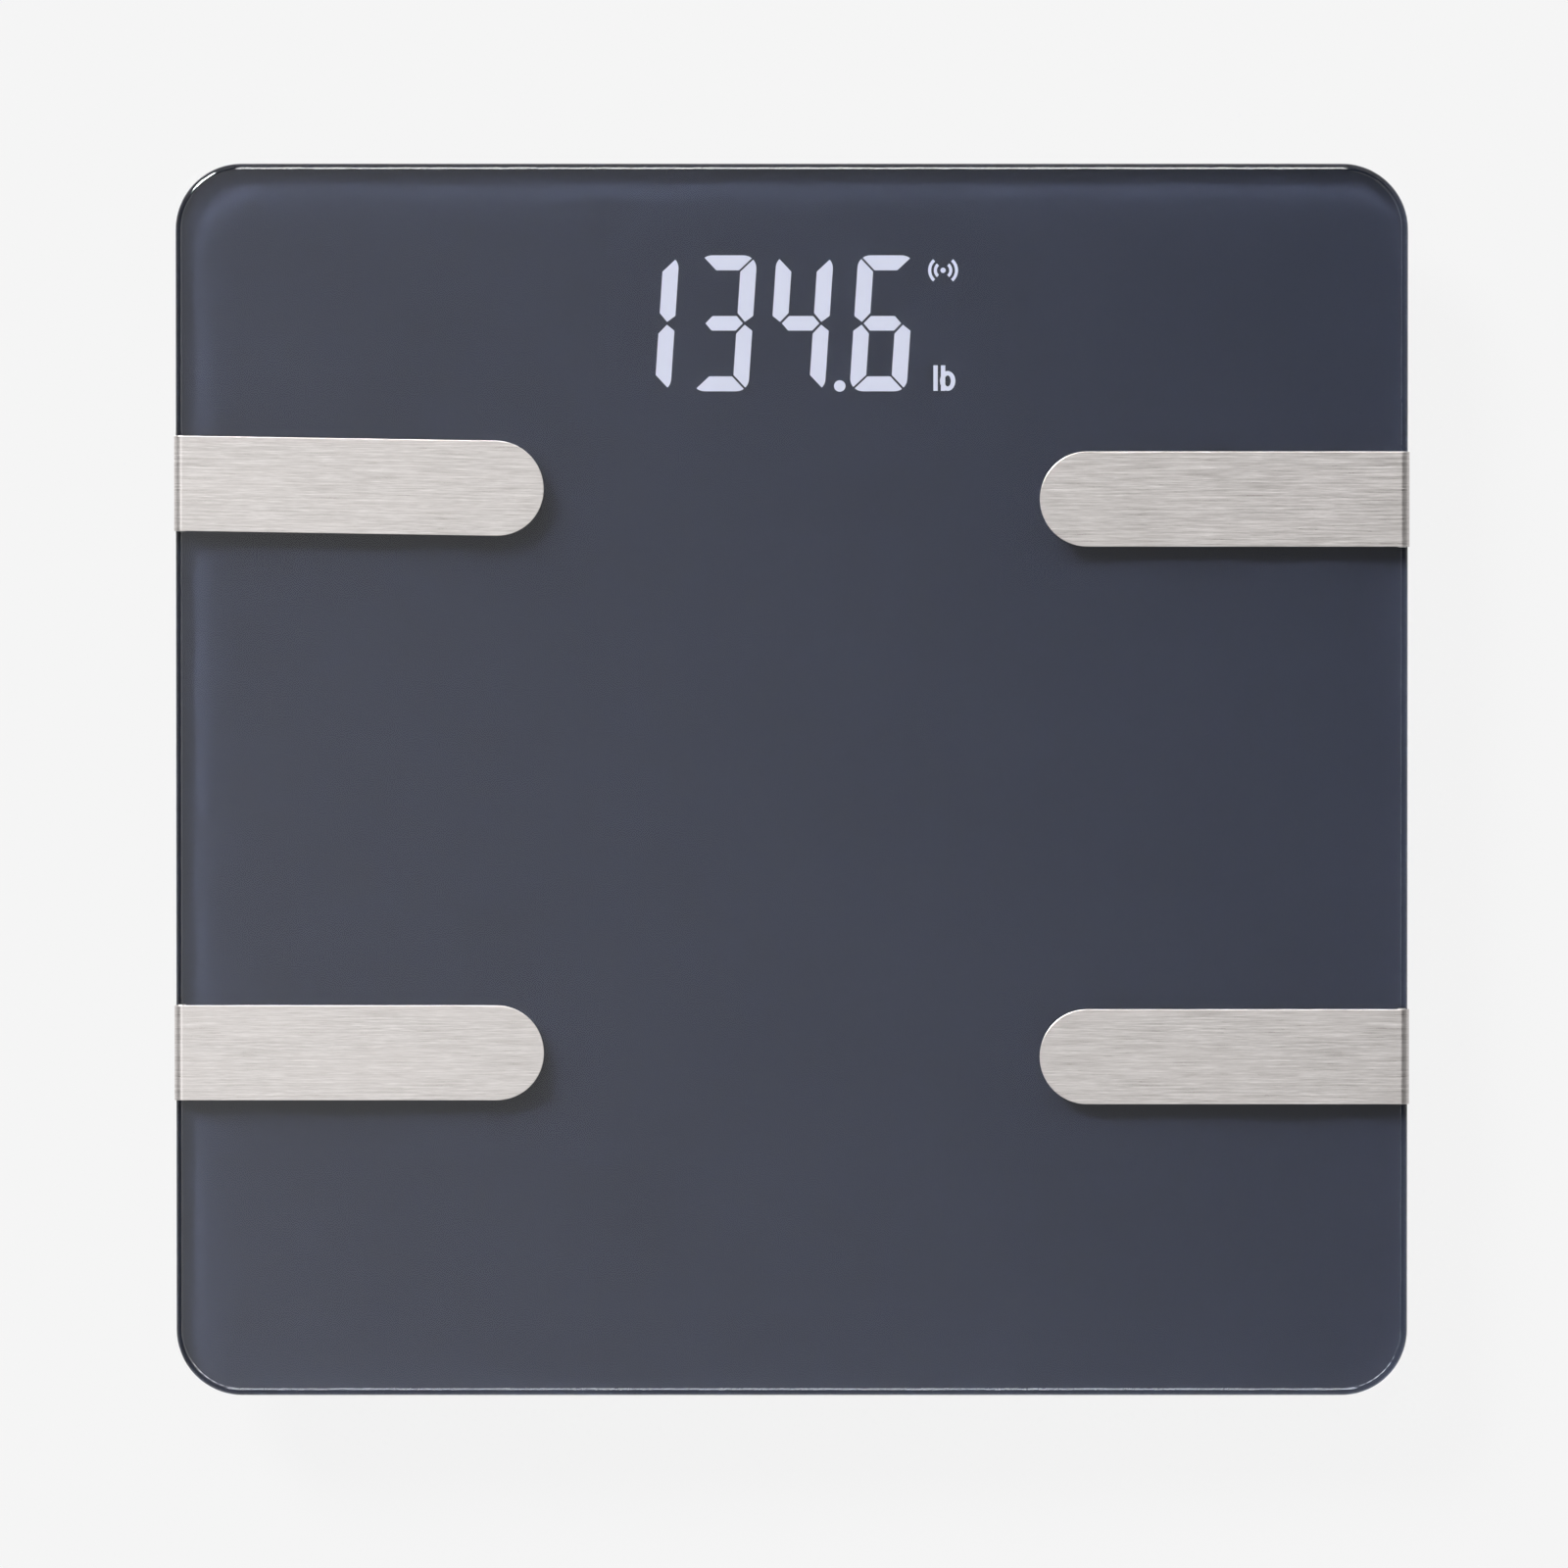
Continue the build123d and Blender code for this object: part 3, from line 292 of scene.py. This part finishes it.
def board_mask():
    """Solder mask over copper tracks."""
    material, tree, shader = new_material("solder_mask")
    tracks = node(tree, "ShaderNodeTexBrick", {
        "Vector": place(tree),
        "Scale": 260.0,
        "Mortar Size": 0.012,
        "Color1": (0.012, 0.13, 0.055, 1),
        "Color2": (0.014, 0.15, 0.062, 1),
        "Mortar": (0.03, 0.24, 0.10, 1),
    })
    weave = noise(tree, place(tree), 1400.0, 2.0)
    plug(tree, shader, {
        "Base Color": tracks.outputs["Color"],
        "Roughness": spread(tree, weave, 0.22, 0.36),
        "Normal": bump(tree, weave, 0.15, 0.02 * MM),
    })
    return material


def battery_jacket(nub_side):
    """Printed sleeve: dark blue body and a copper-coloured band at the nub's end, on side +1 or -1 in X."""
    material, tree, shader = new_material("battery_sleeve")
    band_start, band_blend = 11.0 * MM, 0.1 * MM
    blue, copper = (0.010, 0.022, 0.075, 1), (0.52, 0.20, 0.07, 1)
    coords = node(tree, "ShaderNodeTexCoord")
    axes = node(tree, "ShaderNodeSeparateXYZ", {"Vector": coords.outputs["Object"]})
    toward_nub = arithmetic(tree, "MULTIPLY", axes.outputs["X"], nub_side)
    band = spread(tree, toward_nub, 0, 1, band_start, band_start + band_blend)
    scuffs = noise(tree, place(tree, (1, 4, 4)), 300.0, 4.0)
    plug(tree, shader, {
        "Base Color": blend_colours(tree, band, blue, copper),
        "Metallic": 0.35,
        "Roughness": spread(tree, scuffs, 0.24, 0.42),
        "Normal": bump(tree, scuffs, 0.08, 0.02 * MM),
    })
    return material


def shared_materials():
    """The material of each of the record's slots, but for the batteries, the glass and the electrodes."""
    chrome = plated_steel("nickel_contact", (0.78, 0.76, 0.72, 1), 0.22)
    zinc = plated_steel("zinc_plate", (0.62, 0.63, 0.66, 1), 0.34)
    return {
        "adhesive": rubber("black_tape", (0.012, 0.012, 0.014, 1)),
        "tray_plastic": moulded_plastic("tray_abs", (0.020, 0.021, 0.024, 1), 0.52),
        "foot_plastic": moulded_plastic("foot_abs", (0.024, 0.025, 0.028, 1), 0.40),
        "foot_rubber": rubber("foot_rubber", (0.045, 0.045, 0.048, 1)),
        "cell_steel": zinc,
        "screw_steel": zinc,
        "carrier_plastic": moulded_plastic("white_abs", (0.72, 0.72, 0.70, 1), 0.45),
        "potting": rubber("white_silicone", (0.78, 0.78, 0.75, 1), 700.0),
        "contact_steel": chrome,
        "board": board_mask(),
        "chip": moulded_plastic("chip_epoxy", (0.018, 0.018, 0.020, 1), 0.5),
        "radio_can": chrome,
        "lit_resin": lit_resin(),
        "dark_resin": moulded_plastic("milky_resin", (0.60, 0.60, 0.57, 1), 0.3),
        "button_plastic": moulded_plastic("button_abs", (0.20, 0.205, 0.215, 1), 0.38),
        "lead_red": soft_lead("insulation_red", (0.46, 0.012, 0.014, 1)),
        "lead_white": soft_lead("insulation_white", (0.72, 0.72, 0.70, 1)),
        "lead_black": soft_lead("insulation_black", (0.012, 0.012, 0.013, 1)),
        "lead_grey": soft_lead("insulation_grey", (0.16, 0.16, 0.18, 1)),
        "print": back_print(),
    }


def dress_nodes():
    """Puts each slot's material on its CAD nodes. The glass and the electrodes get theirs when replaced."""
    materials = shared_materials()
    nub_right, nub_left = battery_jacket(1), battery_jacket(-1)
    for part in frame["record"]["subparts"]:
        name, slot = part["node"], part["material_slot"]
        if slot == "battery_jacket":
            material = nub_left if name == "battery_middle" else nub_right
        elif slot in materials:
            material = materials[slot]
        else:
            continue
        for held in frame["nodes"][name].material_slots:
            held.material = material


# ---------------------------------------------------------------- meshes
def quarter_round(radius, steps):
    """Points from the side of a slab round to its face, as (inset, drop from the face)."""
    points = []
    for step in range(steps + 1):
        angle = math.pi / 2 * step / steps
        points.append((radius * (1 - math.cos(angle)), radius * (1 - math.sin(angle))))
    return points


def ring_stack(rings):
    """A mesh of rings of equally many points, joined by quads and closed at both ends."""
    mesh = bmesh.new()
    loops = [[mesh.verts.new(point) for point in ring] for ring in rings]
    count = len(loops[0])
    for lower, upper in zip(loops, loops[1:]):
        for i in range(count):
            j = (i + 1) % count
            mesh.faces.new((lower[i], lower[j], upper[j], upper[i]))
    mesh.faces.new(list(reversed(loops[0])))
    mesh.faces.new(loops[-1])
    return mesh


def finish_mesh(mesh, name, material):
    """Turns a bmesh into a smooth piece on the root body."""
    bmesh.ops.recalc_face_normals(mesh, faces=mesh.faces)
    data = bpy.data.meshes.new(name)
    mesh.to_mesh(data)
    mesh.free()
    for polygon in data.polygons:
        polygon.use_smooth = True
    piece = bpy.data.objects.new(name, data)
    bpy.context.collection.objects.link(piece)
    data.materials.append(material)
    normals = piece.modifiers.new("flat_faces_stay_flat", "WEIGHTED_NORMAL")
    normals.keep_sharp = True
    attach(piece, ROOT)
    return piece


def rounded_square(half, corner):
    """Outline of a square with round corners, counter-clockwise."""
    points = []
    for turn, (side_x, side_y) in enumerate([(1, 1), (-1, 1), (-1, -1), (1, -1)]):
        centre = Vector((side_x * (half - corner), side_y * (half - corner)))
        for step in range(CORNER_STEPS + 1):
            angle = math.pi / 2 * (turn + step / CORNER_STEPS)
            points.append(centre + corner * Vector((math.cos(angle), math.sin(angle))))
    return points


def glass_platform():
    """The glass slab with its polished pencil edge, sunk by a hair into the print so that no air shows."""
    low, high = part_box("glass_platform")
    half = (high[0] - low[0]) / 2
    bottom, top = low[2] - GLASS_SUNK, high[2]
    edge = quarter_round(GLASS_EDGE, EDGE_STEPS)
    profile = [(inset, bottom + drop) for inset, drop in reversed(edge)]
    profile += [(inset, top - drop) for inset, drop in edge]
    rings = []
    for inset, height in profile:
        outline = rounded_square(half - inset, GLASS_CORNER - inset)
        rings.append([(point.x, point.y, height) for point in outline])
    piece = finish_mesh(ring_stack(rings), "glass_top", clear_glass())
    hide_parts("glass_platform")


def wrap_stretches(half, top, low):
    """A strip's flat length from the middle of the scale, the length of a bend, and its straight side."""
    return half - STRIP_BEND, math.pi / 2 * STRIP_BEND, top - low - 2 * STRIP_BEND


def wrap_point(along, off, half, top, low):
    """Where a point of the flat strip goes once bent: along from the middle of the scale, off outwards."""
    flat, bend, side = wrap_stretches(half, top, low)
    reach = STRIP_BEND + off
    if along <= flat:
        return along, top + off
    along -= flat
    if along <= bend:
        angle = along / STRIP_BEND
        return flat + reach * math.sin(angle), top - STRIP_BEND + reach * math.cos(angle)
    along -= bend
    if along <= side:
        return half + off, top - STRIP_BEND - along
    along -= side
    if along <= bend:
        angle = along / STRIP_BEND
        return flat + reach * math.cos(angle), low + STRIP_BEND - reach * math.sin(angle)
    return flat - (along - bend), low - off


def strip_blank(inner, length):
    """A flat strip with softened edges, from its round inner end to its square far end."""
    end = STRIP_WIDTH / 2
    centre = inner + end
    outline = []
    for step in range(STRIP_END_STEPS + 1):
        angle = math.pi / 2 + math.pi * step / STRIP_END_STEPS
        outline.append((centre + end * math.cos(angle), end * math.sin(angle)))
    outline += [(length, -end), (length, end)]
    upper = []
    for inset, drop in quarter_round(STRIP_ROUND_OVER, STRIP_EDGE_STEPS):
        shrink = 1 - inset / end
        height = STRIP_THICKNESS / 2 - drop
        ring = []
        for x, y in outline:
            x_in = centre + (x - centre) * shrink if x < length else length - inset
            ring.append((x_in, y * shrink, height))
        upper.append(ring)
    lower = [[(x, y, -z) for x, y, z in ring] for ring in reversed(upper)]
    return ring_stack(lower + upper)


def cut_across(mesh, start, length):
    """Cuts a blank across at even steps, so that this stretch comes out round when it is bent."""
    for step in range(STRIP_BEND_STEPS + 1):
        station = start + length * step / STRIP_BEND_STEPS
        everything = mesh.verts[:] + mesh.edges[:] + mesh.faces[:]
        bmesh.ops.bisect_plane(mesh, geom=everything, plane_co=(station, 0, 0), plane_no=(1, 0, 0))


def electrode(name, side):
    """One stainless strip: a flat blank, bent round the edge of the glass on side +1 or -1 in X."""
    low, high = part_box(name)
    inner, half = sorted((abs(low[0]), abs(high[0])))
    top, bottom = high[2], low[2]
    flat, bend, drop = wrap_stretches(half, top, bottom)
    mesh = strip_blank(inner, flat + bend + drop + bend + flat - STRIP_RETURN_X)
    cut_across(mesh, flat, bend)
    cut_across(mesh, flat + bend + drop, bend)
    tilt = STRIP_TILTS.get(name, 0.0)
    # a tilted strip leans down towards its inner end, so its root sits at the top of its box
    root_y = high[1] - STRIP_WIDTH / 2 if tilt else (low[1] + high[1]) / 2
    uv_layer = mesh.loops.layers.uv.new("along")
    for face in mesh.faces:
        for corner in face.loops:
            corner[uv_layer].uv = (corner.vert.co.x, corner.vert.co.y + root_y)
    for vert in mesh.verts:
        along, across, off = vert.co
        x, z = wrap_point(along, off - STRIP_THICKNESS / 2, half, top, bottom)
        lean = math.tan(tilt) * max(0.0, flat - along)
        vert.co = (side * x, root_y + across + lean, z)
    return mesh


def electrodes():
    """The four strips in brushed stainless steel."""
    steel = brushed_steel()
    for end in ("toe", "heel"):
        for word, side in (("left", -1), ("right", 1)):
            name = f"electrode_{end}_{word}"
            piece = finish_mesh(electrode(name, side), f"strip_{end}_{word}", steel)
            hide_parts(name)


# ---------------------------------------------------------------- stage, light, camera
def pale_floor():
    """A pale floor that reads evenly bright from above and is clear from below."""
    mesh = bmesh.new()
    bmesh.ops.create_grid(mesh, x_segments=1, y_segments=1, size=FLOOR_HALF)
    data = bpy.data.meshes.new("floor")
    mesh.to_mesh(data)
    mesh.free()
    floor = bpy.data.objects.new("floor", data)
    bpy.context.collection.objects.link(floor)
    material, tree, shader = new_material("pale_floor")
    data.materials.append(material)
    plug(tree, shader, {
        "Base Color": (0.007, 0.007, 0.007, 1),
        "Roughness": 0.9,
        "Specular IOR Level": 0.0,
        "Emission Color": (1, 1, 1, 1),
        "Emission Strength": 0.884,
    })
    geometry = node(tree, "ShaderNodeNewGeometry")
    clear = node(tree, "ShaderNodeBsdfTransparent")
    mix = node(tree, "ShaderNodeMixShader", {
        0: geometry.outputs["Backfacing"], 1: shader.outputs[0], 2: clear.outputs[0]})
    tree.links.new(mix.outputs[0], tree.nodes["Material Output"].inputs["Surface"])
    floor.location.z = -FLOOR_GAP


def lobe(tree, direction, aim, edge, core):
    """1 close to aim, easing to 0 away from it: edge and core are cosines of the angle to aim."""
    length = math.hypot(*aim)
    return ease(tree, along_vector(tree, direction, [axis / length for axis in aim]), edge, core, 0.0, 1.0)


def overhead_light(tree, direction):
    """A glow overhead, brighter to the left and to the heel's side."""
    up = (0, 0, 1)
    slope = along_vector(tree, direction, (-5.8, -1.9, 0.0))
    tilted = arithmetic(tree, "MULTIPLY", slope, lobe(tree, direction, up, 0.80, 0.97))
    even = arithmetic(tree, "MULTIPLY", lobe(tree, direction, up, 0.82, 0.95), 0.60)
    return arithmetic(tree, "ADD", tilted, even)


def toe_bank(tree, across, toeward, height):
    """Light beyond the toe end for the glass's far edge: a wide low bank under a narrow high one."""
    low, clear_of_floor = ease(tree, height, 0.42, 0.60, 1.3, 0.0), ease(tree, height, 0.20, 0.38, 0.0, 1.0)
    low_bank = arithmetic(tree, "MULTIPLY", low, clear_of_floor)
    off_middle = arithmetic(tree, "ABSOLUTE", across)
    narrow, high = ease(tree, off_middle, 0.07, 0.12, 17.5, 0.0), ease(tree, height, 0.52, 0.68, 0.0, 1.0)
    high_bank = arithmetic(tree, "MULTIPLY", narrow, high)
    both = arithmetic(tree, "ADD", low_bank, high_bank)
    return arithmetic(tree, "MULTIPLY", ease(tree, toeward, 0.30, 0.55, 0.0, 1.0), both)


def studio_light():
    """A white studio: even walls, a glow overhead, a bank beyond the toe end and one soft key light."""
    key_aim, key_strength = (-0.523, 0.642, 0.559), 220.0
    backdrop = 0.92
    world = bpy.data.worlds.new("studio")
    bpy.context.scene.world = world
    world.use_nodes = True
    tree = world.node_tree
    direction = node(tree, "ShaderNodeTexCoord").outputs["Generated"]
    across, toeward, height = node(tree, "ShaderNodeSeparateXYZ", {"Vector": direction}).outputs
    total = ease(tree, height, 0.10, 0.45, 0.42, 0.24)
    key = arithmetic(tree, "MULTIPLY", lobe(tree, direction, key_aim, 0.980, 0.993), key_strength)
    for part in (overhead_light(tree, direction), key, toe_bank(tree, across, toeward, height)):
        total = arithmetic(tree, "ADD", total, part)
    strength = arithmetic(tree, "MAXIMUM", total)
    # seen directly, the studio is one plain pale backdrop
    sight = node(tree, "ShaderNodeLightPath").outputs["Is Camera Ray"]
    shown = node(tree, "ShaderNodeMix", {0: sight, 2: strength, 3: backdrop}).outputs[0]
    plug(tree, tree.nodes["Background"], {"Strength": shown, "Color": (1, 1, 1, 1)})


def picture_settings():
    """Plain colours, and shadows through the glass softened only as much as the key light needs."""
    bpy.context.scene.view_settings.view_transform = "Standard"
    bpy.context.scene.cycles.blur_glossy = 0.275


def camera():
    """Nearly straight above, a little to the display's side of the middle, through a long lens."""
    low, high = (Vector(corner) for corner in CAD_BOX)
    aim = Vector(((low.x + high.x) / 2 + AIM_OFFSET[0], (low.y + high.y) / 2 + AIM_OFFSET[1], high.z))
    data = bpy.data.cameras.new("camera")
    data.sensor_width = SENSOR_WIDTH
    data.lens = SENSOR_WIDTH * CAMERA_DISTANCE / (PHOTO_WIDTH * PIXEL)
    made = bpy.data.objects.new("camera", data)
    bpy.context.collection.objects.link(made)
    made.location = aim + CAMERA_DISTANCE * Vector((0, math.sin(CAMERA_TILT), math.cos(CAMERA_TILT)))
    made.rotation_euler = (-CAMERA_TILT, 0, 0)
    bpy.context.scene.camera = made


camera()
dress_nodes()
glass_platform()
electrodes()
pale_floor()
studio_light()
picture_settings()
